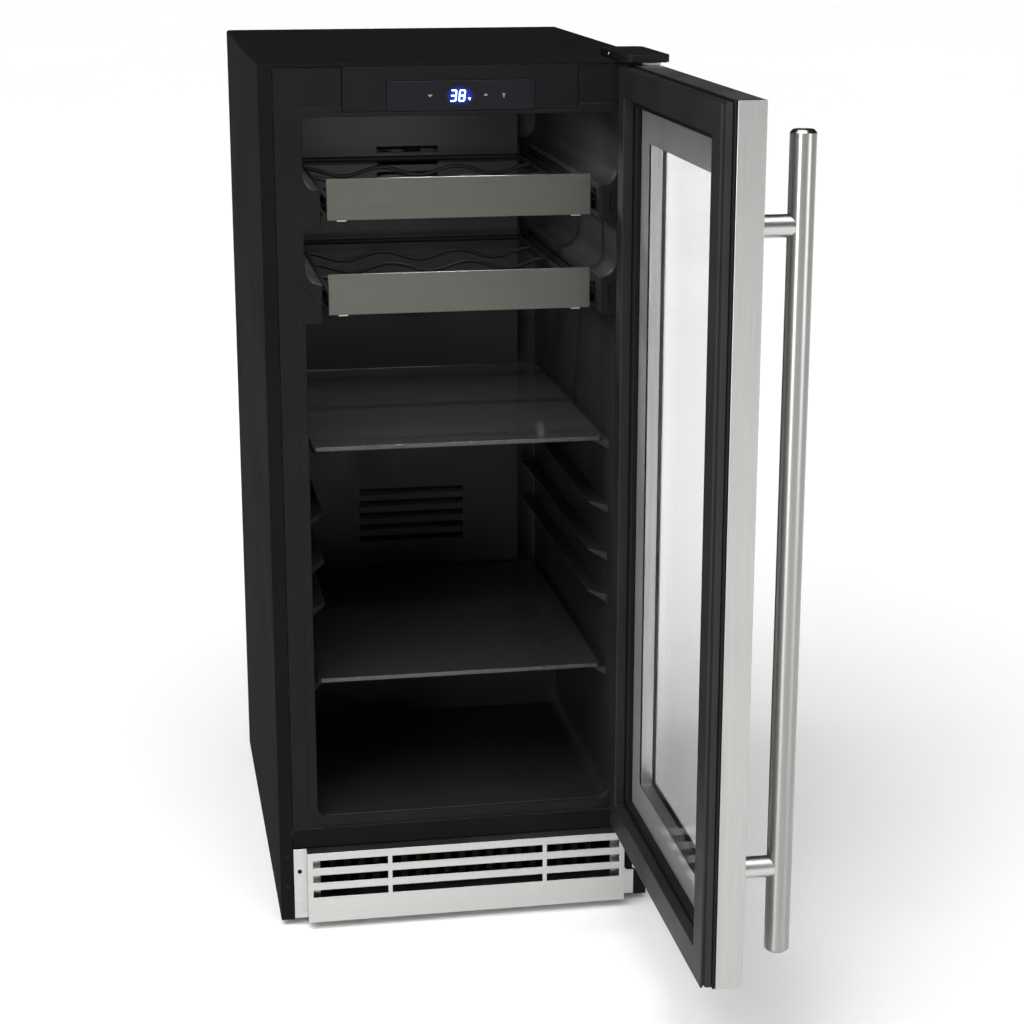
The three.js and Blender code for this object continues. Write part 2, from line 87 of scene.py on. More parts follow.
class Effects:
    """The surface effects that several finishes share, each a node group made once."""

    def __init__(self) -> None:
        """Starts with no group made."""
        self.made: dict[str, bpy.types.NodeTree] = {}

    def group(self, name: str) -> bpy.types.NodeTree:
        """Gives a shared effect, making it the first time.

        Args:
            name: the value of a Texture, or MARKS.

        Returns:
            The node group.
        """
        if name not in self.made:
            makers = {
                Texture.BRUSHED.value: self._brushed,
                Texture.MOULDED.value: self._moulded,
                Texture.PAINTED.value: self._painted,
                MARKS: self._marks,
            }
            self.made[name] = makers[name](name)
        return self.made[name]

    def _start(self, name: str, outputs: tuple[str, ...]) -> bpy.types.NodeTree:
        """Makes an empty group with Vector, Stretch and Scale inputs.

        Args:
            name: the group's name.
            outputs: the names of its value outputs.

        Returns:
            The group, with its input and output nodes in it.
        """
        tree = bpy.data.node_groups.new(name, "ShaderNodeTree")
        tree.interface.new_socket("Vector", in_out="INPUT", socket_type="NodeSocketVector")
        tree.interface.new_socket("Stretch", in_out="INPUT", socket_type="NodeSocketVector")
        tree.interface.new_socket("Scale", in_out="INPUT", socket_type="NodeSocketFloat")
        for output in outputs:
            tree.interface.new_socket(output, in_out="OUTPUT", socket_type="NodeSocketFloat")
        tree.nodes.new("NodeGroupInput").name = "in"
        tree.nodes.new("NodeGroupOutput").name = "out"
        return tree

    def _noise(self, tree: bpy.types.NodeTree, factor: float, detail: float) -> bpy.types.Node:
        """Adds a noise on the group's stretched vector.

        Args:
            tree: the group.
            factor: how many times finer than the group's scale the noise is.
            detail: the noise's octaves.

        Returns:
            The noise node.
        """
        source = tree.nodes["in"]
        mapping = tree.nodes.new("ShaderNodeMapping")
        scale = tree.nodes.new("ShaderNodeMath")
        noise = tree.nodes.new("ShaderNodeTexNoise")
        scale.operation = "MULTIPLY"
        scale.inputs[1].default_value = factor
        noise.inputs["Detail"].default_value = detail
        tree.links.new(source.outputs["Vector"], mapping.inputs["Vector"])
        tree.links.new(source.outputs["Stretch"], mapping.inputs["Scale"])
        tree.links.new(source.outputs["Scale"], scale.inputs[0])
        tree.links.new(mapping.outputs["Vector"], noise.inputs["Vector"])
        tree.links.new(scale.outputs[0], noise.inputs["Scale"])
        return noise

    def _spread(
        self, tree: bpy.types.NodeTree, source: bpy.types.NodeSocket, low: float, high: float, out: str
    ) -> None:
        """Stretches a value from low..high to 0..1 and puts it out.

        Args:
            tree: the group.
            source: the value to stretch.
            low: the value that becomes 0.
            high: the value that becomes 1.
            out: the name of the group's output.
        """
        spread = tree.nodes.new("ShaderNodeMapRange")
        spread.inputs["From Min"].default_value = low
        spread.inputs["From Max"].default_value = high
        tree.links.new(source, spread.inputs["Value"])
        tree.links.new(spread.outputs["Result"], tree.nodes["out"].inputs[out])

    def _brushed(self, name: str) -> bpy.types.NodeTree:
        """Makes long fine scratches beside each other, as a brushing belt leaves them."""
        tree = self._start(name, ("Tone", "Height"))
        fine = self._noise(tree, 1.0, 3.0)
        broad = self._noise(tree, 0.12, 2.0)
        blend = tree.nodes.new("ShaderNodeMix")
        blend.data_type = "FLOAT"
        blend.inputs[0].default_value = 0.4
        tree.links.new(fine.outputs["Fac"], blend.inputs[2])
        tree.links.new(broad.outputs["Fac"], blend.inputs[3])
        self._spread(tree, blend.outputs[0], 0.35, 0.65, "Tone")
        self._spread(tree, fine.outputs["Fac"], 0.2, 0.8, "Height")
        return tree

    def _moulded(self, name: str) -> bpy.types.NodeTree:
        """Makes the fine pebbled grain of a moulding tool."""
        tree = self._start(name, ("Tone", "Height"))
        fine = self._noise(tree, 1.0, 2.0)
        broad = self._noise(tree, 0.01, 3.0)
        cells = tree.nodes.new("ShaderNodeTexVoronoi")
        cells.feature = "SMOOTH_F1"
        both = tree.nodes.new("ShaderNodeMath")
        both.operation = "ADD"
        source = tree.nodes["in"]
        tree.links.new(source.outputs["Vector"], cells.inputs["Vector"])
        tree.links.new(source.outputs["Scale"], cells.inputs["Scale"])
        tree.links.new(fine.outputs["Fac"], both.inputs[0])
        tree.links.new(cells.outputs["Distance"], both.inputs[1])
        self._spread(tree, broad.outputs["Fac"], 0.3, 0.7, "Tone")
        self._spread(tree, both.outputs[0], 0.4, 1.4, "Height")
        return tree

    def _painted(self, name: str) -> bpy.types.NodeTree:
        """Makes the soft waves of sprayed paint."""
        tree = self._start(name, ("Tone", "Height"))
        peel = self._noise(tree, 1.0, 1.0)
        broad = self._noise(tree, 0.015, 3.0)
        self._spread(tree, broad.outputs["Fac"], 0.3, 0.7, "Tone")
        self._spread(tree, peel.outputs["Fac"], 0.2, 0.8, "Height")
        return tree

    def _marks(self, name: str) -> bpy.types.NodeTree:
        """Makes faint wiped patches, as hands and cloths leave them."""
        tree = self._start(name, ("Mask",))
        patches = self._noise(tree, 1.0, 4.0)
        self._spread(tree, patches.outputs["Fac"], 0.42, 0.72, "Mask")
        return tree


EFFECTS = Effects()


class Sheet:
    """A new material with its shader, its object coordinates and the nodes between them."""

    def __init__(self, name: str) -> None:
        """Makes the material.

        Args:
            name: its name.
        """
        self.material = bpy.data.materials.new(name)
        self.material.use_nodes = True
        self.tree = self.material.node_tree
        self.shader = self.tree.nodes["Principled BSDF"]
        self.places = self.tree.nodes.new("ShaderNodeTexCoord").outputs["Object"]

    def set(self, node: bpy.types.Node, values: dict[str, object]) -> bpy.types.Node:
        """Sets some inputs of a node.

        Args:
            node: the node.
            values: its inputs' values by name.

        Returns:
            The same node.
        """
        for name, value in values.items():
            node.inputs[name].default_value = value
        return node

    def add(self, kind: str, values: dict[str, object]) -> bpy.types.Node:
        """Adds a node with some of its inputs set."""
        return self.set(self.tree.nodes.new(kind), values)

    def link(self, source: bpy.types.NodeSocket, target: bpy.types.NodeSocket) -> None:
        """Joins an output to an input."""
        self.tree.links.new(source, target)

    def effect(self, name: str, stretch: Triple, scale: float) -> bpy.types.Node:
        """Places a shared effect.

        Args:
            name: the effect's name.
            stretch: how much the pattern is squeezed along each axis.
            scale: the pattern's scale.

        Returns:
            The group node.
        """
        node = self.tree.nodes.new("ShaderNodeGroup")
        node.node_tree = EFFECTS.group(name)
        self.set(node, {"Stretch": stretch, "Scale": scale})
        self.link(self.places, node.inputs["Vector"])
        return node

    def blend(self, first: Colour, second: Colour, target: str) -> bpy.types.NodeSocket:
        """Feeds a blend of two colours to the shader.

        Args:
            first: the colour at 0.
            second: the colour at 1.
            target: the shader's input.

        Returns:
            The input that says how much of each colour shows.
        """
        mix = self.tree.nodes.new("ShaderNodeMix")
        mix.data_type = "RGBA"
        mix.inputs[6].default_value = (*first, 1.0)
        mix.inputs[7].default_value = (*second, 1.0)
        self.link(mix.outputs[2], self.shader.inputs[target])
        return mix.inputs[0]

    def gloss(self, roughness: tuple[float, float], scale: float) -> None:
        """Varies the shader's roughness with handling marks.

        Args:
            roughness: the roughness outside and inside the marks.
            scale: the scale of the marks.
        """
        marks = self.effect(MARKS, EVEN, scale)
        gloss = self.add("ShaderNodeMapRange", {"To Min": roughness[0], "To Max": roughness[1]})
        self.link(marks.outputs["Mask"], gloss.inputs["Value"])
        self.link(gloss.outputs["Result"], self.shader.inputs["Roughness"])


@dataclass(frozen=True)
class Finish:
    """An opaque finish: two tones, worked by a texture, with faint marks in its gloss."""

    name: str
    colour: Colour
    second: Colour
    roughness: tuple[float, float]
    texture: Texture = Texture.MOULDED
    metallic: float = 0.0
    along: Along | None = None
    scale: float = 1500.0
    relief: float = 0.1
    specular: float = 0.5
    anisotropy: float = 0.0
    marks_scale: float = 9.0

    def build(self) -> bpy.types.Material:
        """Makes the finish's material."""
        sheet = Sheet(self.name)
        shader = sheet.shader
        surface = sheet.effect(self.texture.value, self.along.value if self.along else EVEN, self.scale)
        sheet.link(surface.outputs["Tone"], sheet.blend(self.colour, self.second, "Base Color"))
        sheet.gloss(self.roughness, self.marks_scale)
        bump = sheet.add("ShaderNodeBump", {"Strength": self.relief, "Distance": BUMP_DEPTH})
        sheet.link(surface.outputs["Height"], bump.inputs["Height"])
        sheet.link(bump.outputs["Normal"], shader.inputs["Normal"])
        shader.inputs["Metallic"].default_value = self.metallic
        shader.inputs["Specular IOR Level"].default_value = self.specular
        shader.inputs["Anisotropic"].default_value = self.anisotropy
        shader.inputs["Anisotropic Rotation"].default_value = 0.25
        return sheet.material


@dataclass(frozen=True)
class GlassFinish:
    """A clear or tinted glass with wiped marks in its gloss."""

    name: str
    tint: Colour
    roughness: tuple[float, float] = (0.0, 0.01)
    ior: float = 1.06
    clear: float = 1.0
    marks_scale: float = 14.0

    def build(self) -> bpy.types.Material:
        """Makes the glass material."""
        sheet = Sheet(self.name)
        sheet.gloss(self.roughness, self.marks_scale)
        sheet.shader.inputs["Base Color"].default_value = (*self.tint, 1.0)
        sheet.shader.inputs["Transmission Weight"].default_value = self.clear
        sheet.shader.inputs["IOR"].default_value = self.ior
        return sheet.material


@dataclass(frozen=True)
class GlowFinish:
    """A lit surface whose light fades outwards from a centre, or is nearly even."""

    name: str
    colour: Colour
    strength: float
    centre: Triple = (0.0, 0.0, 0.0)
    reach: Triple | None = None
    unlit: Colour = (0.0035, 0.0035, 0.006)
    least: float = 0.94
    marks_scale: float = 60.0

    def build(self) -> bpy.types.Material:
        """Makes the lit material."""
        sheet = Sheet(self.name)
        shader = sheet.shader
        shader.inputs["Base Color"].default_value = (*self.unlit, 1.0)
        shader.inputs["Roughness"].default_value = 0.13
        shader.inputs["Specular IOR Level"].default_value = 0.2
        shader.inputs["Emission Strength"].default_value = self.strength
        light = sheet.blend((0.0, 0.0, 0.0), self.colour, "Emission Color")
        if self.reach is None:
            patches = sheet.effect(MARKS, EVEN, self.marks_scale)
            even = sheet.add("ShaderNodeMapRange", {"To Min": self.least})
            sheet.link(patches.outputs["Mask"], even.inputs["Value"])
            sheet.link(even.outputs["Result"], light)
        else:
            mapping = sheet.tree.nodes.new("ShaderNodeMapping")
            mapping.vector_type = "TEXTURE"
            sheet.set(mapping, {"Location": self.centre, "Scale": self.reach})
            ball = sheet.tree.nodes.new("ShaderNodeTexGradient")
            ball.gradient_type = "QUADRATIC_SPHERE"
            sheet.link(sheet.places, mapping.inputs["Vector"])
            sheet.link(mapping.outputs["Vector"], ball.inputs["Vector"])
            sheet.link(ball.outputs["Fac"], light)
        return sheet.material


def steel(name: str, along: Along, tone: float, anisotropy: float = 0.0) -> Finish:
    """Gives satin stainless steel brushed along an axis.

    Args:
        name: the finish's name.
        along: the direction of the brushed lines.
        tone: how much light it reflects.
        anisotropy: how much the brushing draws highlights out.

    Returns:
        The finish.
    """
    low = (tone - 0.02, tone - 0.02, tone - 0.03)
    high = (tone + 0.03, tone + 0.03, tone + 0.015)
    gloss = (0.28, 0.36)
    return Finish(name, low, high, gloss, Texture.BRUSHED, 1.0, along, 900.0, 0.015, anisotropy=anisotropy)


FINISHES = {
    "black_paint": Finish(
        "black enamel", (0.0075, 0.0075, 0.008), (0.0092, 0.0092, 0.0098), (0.74, 0.82), Texture.PAINTED,
        scale=700.0, relief=0.02, specular=0.012,
    ),
    "black_moulding": Finish(
        "black moulding", (0.0065, 0.0067, 0.0075), (0.009, 0.009, 0.010), (0.48, 0.6),
        relief=0.15, specular=0.1,
    ),
    "liner": Finish(
        "liner plastic", (0.012, 0.012, 0.012), (0.016, 0.016, 0.016), (0.36, 0.5),
        scale=1100.0, relief=0.15, specular=0.35,
    ),
    "panel_gloss": Finish(
        "panel gloss", (0.003, 0.003, 0.0055), (0.004, 0.004, 0.007), (0.10, 0.16), Texture.PAINTED,
        relief=0.01, specular=0.2,
    ),
    "seal": Finish(
        "seal rubber", (0.008, 0.008, 0.008), (0.013, 0.013, 0.013), (0.5, 0.62),
        relief=0.12, specular=0.3,
    ),
    "steel_x": steel("stainless brushed across", Along.X, 0.53),
    "steel_z": steel("stainless brushed upright", Along.Z, 0.45),
    # A darker copy of the stainless steel for the handle bar: painted shade that dims the bright floor which
    # the bar reflects.
    "shaded_steel_bar": steel("stainless turned bar with painted shade", Along.Z, 0.33, 0.7),
    "fascia": Finish(
        "dark brushed fascia", (0.122, 0.12, 0.106), (0.135, 0.133, 0.118), (0.34, 0.42),
        Texture.BRUSHED, 0.85, Along.X, 900.0, 0.02,
    ),
    "galvanised": Finish(
        "galvanised steel", (0.33, 0.34, 0.345), (0.45, 0.455, 0.46), (0.36, 0.5),
        metallic=0.9, scale=90.0, relief=0.05,
    ),
    "pins": Finish(
        "hinge pin steel", (0.5, 0.5, 0.5), (0.62, 0.62, 0.61), (0.2, 0.3), Texture.BRUSHED, 1.0, Along.Z,
    ),
    # Near-black copper, so that the condenser coil shows dark behind the grille's slots.
    "near_black_coil": Finish(
        "near-black coil copper", (0.018, 0.013, 0.010), (0.03, 0.02, 0.015), (0.5, 0.6),
        Texture.BRUSHED, 0.6, Along.Z, 500.0,
    ),
    "foam": Finish(
        "rigid foam", (0.66, 0.55, 0.34), (0.74, 0.64, 0.43), (0.85, 0.95), scale=500.0, relief=0.5,
    ),
    "aluminium": Finish(
        "fin aluminium", (0.5, 0.51, 0.52), (0.62, 0.63, 0.64), (0.32, 0.45),
        Texture.BRUSHED, 1.0, Along.Z, 500.0,
    ),
    "board": Finish("circuit board", (0.02, 0.09, 0.035), (0.03, 0.13, 0.05), (0.4, 0.5), scale=2500.0),
    "nylon": Finish("white nylon", (0.68, 0.68, 0.66), (0.76, 0.76, 0.74), (0.4, 0.5), relief=0.08),
    "screw": Finish(
        "zinc screw", (0.5, 0.5, 0.49), (0.66, 0.66, 0.64), (0.2, 0.34), Texture.BRUSHED, 1.0, Along.X,
    ),
    "printing": Finish("pale printing", (0.2, 0.21, 0.23), (0.26, 0.27, 0.29), (0.4, 0.5), relief=0.02),
    "border": Finish(
        "printed glass border", (0.2, 0.2, 0.195), (0.23, 0.23, 0.225), (0.12, 0.2), relief=0.01,
    ),
    "ground": Finish(
        "ground glass edge", (0.035, 0.037, 0.037), (0.05, 0.052, 0.052), (0.25, 0.35), relief=0.06,
    ),
    "clear_glass": GlassFinish("clear glass", (1.0, 1.0, 1.0)),
    "smoked_glass": GlassFinish("smoked glass", (0.16, 0.16, 0.16), (0.08, 0.16), 1.4, 0.86),
    "digits": GlowFinish("lit digits", (0.45, 0.78, 1.0), 5.0),
    "lamp": GlowFinish("lamp lens", (1.0, 0.97, 0.92), 0.9),
}
MADE: dict[str, bpy.types.Material] = {}


def material(name: str) -> bpy.types.Material:
    """Gives the material of a named finish, making it the first time."""
    if name not in MADE:
        MADE[name] = FINISHES[name].build()
    return MADE[name]


# ---------------------------------------------------------------- bench tools


def take(piece: Piece) -> None:
    """Leaves one piece selected and active, and nothing else."""
    bpy.ops.object.select_all(action="DESELECT")
    piece.select_set(True)
    bpy.context.view_layer.objects.active = piece


@contextmanager
def editing(piece: Piece, mode: str = "FACE") -> Iterator[bmesh.types.BMesh]:
    """Opens a piece in edit mode with nothing selected.

    Args:
        piece: the piece.
        mode: what is selected, VERT, EDGE or FACE.

    Yields:
        The piece's edit mesh.
    """
    take(piece)
    bpy.ops.object.mode_set(mode="EDIT")
    bpy.ops.mesh.select_mode(type=mode)
    bpy.ops.mesh.select_all(action="DESELECT")
    yield bmesh.from_edit_mesh(piece.data)
    bpy.ops.object.mode_set(mode="OBJECT")


def choose_faces(mesh: bmesh.types.BMesh, test: Callable[[bmesh.types.BMFace], bool]) -> None:
    """Selects the faces that pass a test, and no others."""
    for face in mesh.faces:
        face.select_set(test(face))
    mesh.select_flush_mode()


def choose_facing(mesh: bmesh.types.BMesh, direction: Vector) -> None:
    """Selects the faces that look in a direction, and no others."""
    choose_faces(mesh, lambda face: face.normal.dot(direction) > FACING)


def inset(width: float, depth: float = 0.0) -> None:
    """Insets the selected faces, and lifts or sinks them by a depth."""
    bpy.ops.mesh.inset(thickness=width, depth=depth)


def draw_out(run: Triple) -> None:
    """Extrudes the selected faces along a run."""
    bpy.ops.mesh.extrude_region_move(TRANSFORM_OT_translate={"value": run})


def new_object(name: str, data: bpy.types.ID) -> bpy.types.Object:
    """Puts a mesh, light or camera in the scene as an object.

    Args:
        name: the object's name.
        data: what it shows.

    Returns:
        The object.
    """
    thing = bpy.data.objects.new(name, data)
    bpy.context.scene.collection.objects.link(thing)
    return thing


def apply_all(piece: Piece) -> None:
    """Applies every modifier of a piece in order."""
    take(piece)
    for modifier in list(piece.modifiers):
        bpy.ops.object.modifier_apply(modifier=modifier.name)


def soften(piece: Piece, width: float, steps: int = 3, limit: float = 30.0, clamp: bool = True) -> Piece:
    """Rounds a piece's sharp edges and evens its shading.

    Args:
        piece: the piece.
        width: the width of the rounding, in metres.
        steps: the number of faces across it.
        limit: edges sharper than this many degrees are rounded.
        clamp: whether the rounding stops before it overlaps.

    Returns:
        The same piece.
    """
    if width > 0:
        bevel = piece.modifiers.new("rounding", "BEVEL")
        bevel.width = width
        bevel.segments = steps
        bevel.limit_method = "ANGLE"
        bevel.angle_limit = math.radians(limit)
        bevel.use_clamp_overlap = clamp
    take(piece)
    bpy.ops.object.shade_smooth_by_angle(angle=SMOOTH_ANGLE)
    even = piece.modifiers.new("even shading", "WEIGHTED_NORMAL")
    even.keep_sharp = True
    even.weight = 80
    apply_all(piece)
    return piece


def box_piece(name: str, low: Vector, high: Vector) -> Piece:
    """Adds a cube primitive that fills the space between two corners.

    Args:
        name: the piece's name.
        low: the lowest corner.
        high: the highest corner.

    Returns:
        The piece, with its place in its mesh.
    """
    bpy.ops.object.select_all(action="DESELECT")
    low, high = Vector(low), Vector(high)
    bpy.ops.mesh.primitive_cube_add(size=1.0, location=(low + high) / 2)
    piece = bpy.context.active_object
    piece.name = name
    piece.scale = high - low
    bpy.ops.object.transform_apply(location=True, rotation=True, scale=True)
    return piece


def rod_piece(name: str, start: Vector, end: Vector, radius: float, sides: int = 48) -> Piece:
    """Adds a cylinder primitive between two points.

    Args:
        name: the piece's name.
        start: the centre of its first end.
        end: the centre of its other end.
        radius: its radius.
        sides: its number of sides.

    Returns:
        The piece, with its place in its mesh.
    """
    bpy.ops.object.select_all(action="DESELECT")
    start, end = Vector(start), Vector(end)
    run = end - start
    bpy.ops.mesh.primitive_cylinder_add(
        vertices=sides, radius=radius, depth=run.length, location=(start + end) / 2,
        rotation=run.to_track_quat("Z", "Y").to_euler(),
    )
    piece = bpy.context.active_object
    piece.name = name
    bpy.ops.object.transform_apply(location=True, rotation=True, scale=True)
    return piece


def copy_of(node: str, name: str) -> Piece:
    """Copies a CAD node as a piece with merged corners and whole flat faces.

    Args:
        node: the CAD node.
        name: the new piece's name.

    Returns:
        The piece, which rides on nothing yet.
    """
    bpy.ops.object.select_all(action="DESELECT")
    piece = new_object(name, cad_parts[node].data.copy())
    piece.data.materials.clear()
    with editing(piece, "VERT"):
        bpy.ops.mesh.select_all(action="SELECT")
        bpy.ops.mesh.remove_doubles(threshold=MERGE_DISTANCE)
        bpy.ops.mesh.dissolve_limited(angle_limit=FLAT_ANGLE)
    return piece


def fit(piece: Piece, body: str, slot: str, finish: str, *nodes: str) -> Piece:
    """Dresses a piece, makes it ride on a body and lets it stand for CAD nodes.

    Args:
        piece: the piece.
        body: the CAD body that it rides on.
        slot: a material slot's name; not used.
        finish: the name of its finish.
        nodes: the CAD nodes that it stands for.

    Returns:
        The same piece.
    """
    piece.data.materials.clear()
    piece.data.materials.append(material(finish))
    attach(piece, body)
    if nodes:
        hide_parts(*nodes)
    log.info("%s rides on %s", piece.name, body)
    return piece


def refine(node: str, body: str, slot: str, finish: str, width: float, steps: int = 2) -> Piece:
    """Stands a rounded copy of a CAD node in for it.

    Args:
        node: the CAD node.
        body: the body that it rides on.
        slot: a material slot's name, passed on to fit.
        finish: the name of its finish.
        width: the width of its rounded edges, in metres.
        steps: the number of faces across them.

    Returns:
        The piece.
    """
    piece = copy_of(node, f"{node}_skin")
    soften(piece, width, steps, clamp=False)
    return fit(piece, body, slot, finish, node)


def dress(node: str, finish: str) -> None:
    """Gives a carried-over CAD node its material."""
    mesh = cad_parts[node].data
    mesh.materials.clear()
    mesh.materials.append(material(finish))


def join_pieces(name: str, pieces: list[Piece]) -> Piece:
    """Joins pieces of one finish into one.

    Args:
        name: the name of the whole.
        pieces: the pieces, at least one.

    Returns:
        The joined piece.
    """
    take(pieces[0])
    for piece in pieces[1:]:
        piece.select_set(True)
    bpy.ops.object.join()
    pieces[0].name = name
    return pieces[0]


@dataclass
class Screw:
    """A pan-head screw with a driver recess."""

    radius: float = 3.6 * MM
    height: float = 1.6 * MM
    crown: float = 0.3 * MM
    recess: float = 0.9 * MM

    def build(self, name: str, seat: Vector, out: Vector) -> Piece:
        """Makes one screw head.

        Args:
            name: the piece's name.
            seat: where it sits on a surface.
            out: the direction that it faces.

        Returns:
            The piece, which rides on nothing yet.
        """
        out = Vector(out)
        piece = rod_piece(name, seat, Vector(seat) + out * self.height, self.radius, 24)
        with editing(piece) as mesh:
            choose_facing(mesh, out)
            inset(0.35 * self.radius, self.crown)
            inset(0.22 * self.radius)
            inset(0.05 * self.radius, -self.recess)
        return soften(piece, 0.25 * MM, 2)


# ---------------------------------------------------------------- sub-assemblies


@dataclass
class Cabinet:
    """The steel shell with its back, base, front rail, screws and plugs; Machinery makes the machine parts
    inside.
    """

    rounding: float = 0.5 * MM
    post_screw_x: float = 181.7 * MM
    post_screw_heights: tuple[float, ...] = (42.4 * MM, 75.3 * MM)
    plug_count: int = 3
    plug_spacing: float = 7.5 * MM
    plug_radius: float = 2.6 * MM
    plug_height: float = 0.7 * MM
    plug_from_side: float = 11 * MM
    plug_from_cap: float = 32 * MM
    rear_rows: int = 5
    rear_margin: float = 7 * MM
    rear_seat: float = 1.15 * MM

    def build(self) -> None:
        """Makes the shell's panels, screws and plugs."""
        refine("outer_shell", "cabinet", "black_steel", "black_paint", self.rounding)
        refine("rear_panel", "cabinet", "black_steel", "black_paint", 0.25 * MM)
        refine("base_pan", "cabinet", "grey_steel", "galvanised", 0.3 * MM)
        refine("lower_front_rail", "cabinet", "black_steel", "black_paint", 0.3 * MM)
        self._post_screws()
        self._hinge_hole_plugs()
        self._rear_screws()

    def _post_screws(self) -> None:
        """Screws the grille's left tab to the left front post."""
        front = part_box("outer_shell")[0].y
        heads = []
        for index, height in enumerate(self.post_screw_heights):
            seat = Vector((-self.post_screw_x, front, height))
            heads.append(Screw(2.8 * MM, 1.2 * MM).build(f"post_screw_{index}", seat, FRONT))
        fit(join_pieces("post_screws", heads), "cabinet", "black_steel", "black_moulding")

    def _hinge_hole_plugs(self) -> None:
        """Plugs the spare hinge holes in the top on the left."""
        low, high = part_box("outer_shell")
        cap_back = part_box("hinge_cover")[1].y
        plugs = []
        for index in range(self.plug_count):
            place = low.x + self.plug_from_side + index * self.plug_spacing
            seat = Vector((place, cap_back - self.plug_from_cap, high.z))
            plug = rod_piece(f"plug_{index}", seat, seat + UP * self.plug_height, self.plug_radius, 32)
            with editing(plug) as mesh:
                choose_facing(mesh, UP)
                inset(0.9 * MM, -0.3 * MM)
            plugs.append(soften(plug, 0.2 * MM, 2))
        fit(join_pieces("hinge_hole_plugs", plugs), "cabinet", "black_plastic", "black_moulding")

    def _rear_screws(self) -> None:
        """Screws the rear panel round its edge."""
        low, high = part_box("rear_panel")
        heads = []
        margin = self.rear_margin
        for row in range(self.rear_rows):
            height = low.z + margin + row * (high.z - low.z - 2 * margin) / (self.rear_rows - 1)
            for side, place in enumerate((low.x + margin, high.x - margin)):
                seat = Vector((place, high.y - self.rear_seat, height))
                heads.append(Screw(3 * MM, 1.3 * MM).build(f"rear_screw_{row}_{side}", seat, BACK))
        fit(join_pieces("rear_screws", heads), "cabinet", "grey_steel", "screw")


@dataclass
class Machinery:
    """The cooling parts and electrics, seen only through the vents."""

    finishes: dict[str, str] = field(
        default_factory=lambda: {
            "machine_deck": "galvanised",
            "foam_insulation": "foam",
            "display_module": "board",
            "control_board": "board",
            "evaporator_coil": "aluminium",
            "evaporator_fan_blade": "black_moulding",
            "evaporator_fan_motor": "black_moulding",
            "condenser_coil": "near_black_coil",
            "condenser_fan_bracket": "galvanised",
            "condenser_fan_blade": "black_moulding",
            "drain_pan": "black_moulding",
            "door_insulation": "foam",
        }
    )
    pin_places: tuple[tuple[float, float], ...] = ((-7, -2), (0, 2), (7, -2))
    pin_half: Triple = (1.0, 5.5, 2.2)
    pin_from_back: float = 12 * MM

    def build(self) -> None:
        """Dresses the hidden nodes and refines those that vents show."""
        for node, finish in self.finishes.items():
            dress(node, finish)
        refine("compressor", "cabinet", "compressor_iron", "black_paint", 0.0)
        refine("power_inlet", "cabinet", "black_plastic", "black_moulding", 0.6 * MM)
        self._inlet_pins()

    def _inlet_pins(self) -> None:
        """Puts the three flat pins in the power inlet."""
        low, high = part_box("power_inlet")
        centre = (low + high) / 2
        pins = []
        for index, (across, up) in enumerate(self.pin_places):
            middle = Vector((centre.x + across * MM, high.y - self.pin_from_back, centre.z + up * MM))
            size = Vector(self.pin_half) * MM
            pins.append(soften(box_piece(f"inlet_pin_{index}", middle - size, middle + size), 0.4 * MM, 2))
        fit(join_pieces("inlet_pins", pins), "cabinet", "grey_steel", "pins")


@dataclass
class FrontTrim:
    """The moulded front frame and header round the opening."""

    rounding: float = 0.9 * MM

    def build(self) -> None:
        """Makes the frame and the header."""
        refine("front_frame", "cabinet", "black_plastic", "black_moulding", self.rounding, 3)
        refine("header_cover", "cabinet", "black_plastic", "black_moulding", 0.4 * MM)
        self._seam_shade_strip()

    def _seam_shade_strip(self) -> None:
        """Lays a black strip in the seam below the frame: painted shade for the narrow gap, over the foam
        behind it.
        """
        low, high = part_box("front_frame")
        rail_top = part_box("lower_front_rail")[1].z
        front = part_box("outer_shell")[0].y
        start = Vector((low.x, front + 0.3 * MM, rail_top))
        end = Vector((high.x, front + 1.0 * MM, low.z))
        # The black strip is painted shade: it darkens the narrow gap below the frame.
        gap_shade = soften(box_piece("seam_shade_strip", start, end), 0.08 * MM, 1)
        fit(gap_shade, "cabinet", "black_plastic", "black_moulding")


class Segment(Enum):
    """The strokes of a seven-segment digit, as (across, up, is upright)."""

    TOP = (0, 1, False)
    MIDDLE = (0, 0, False)
    BOTTOM = (0, -1, False)
    UPPER_LEFT = (-1, 0.5, True)
    UPPER_RIGHT = (1, 0.5, True)
    LOWER_LEFT = (-1, -0.5, True)
    LOWER_RIGHT = (1, -0.5, True)


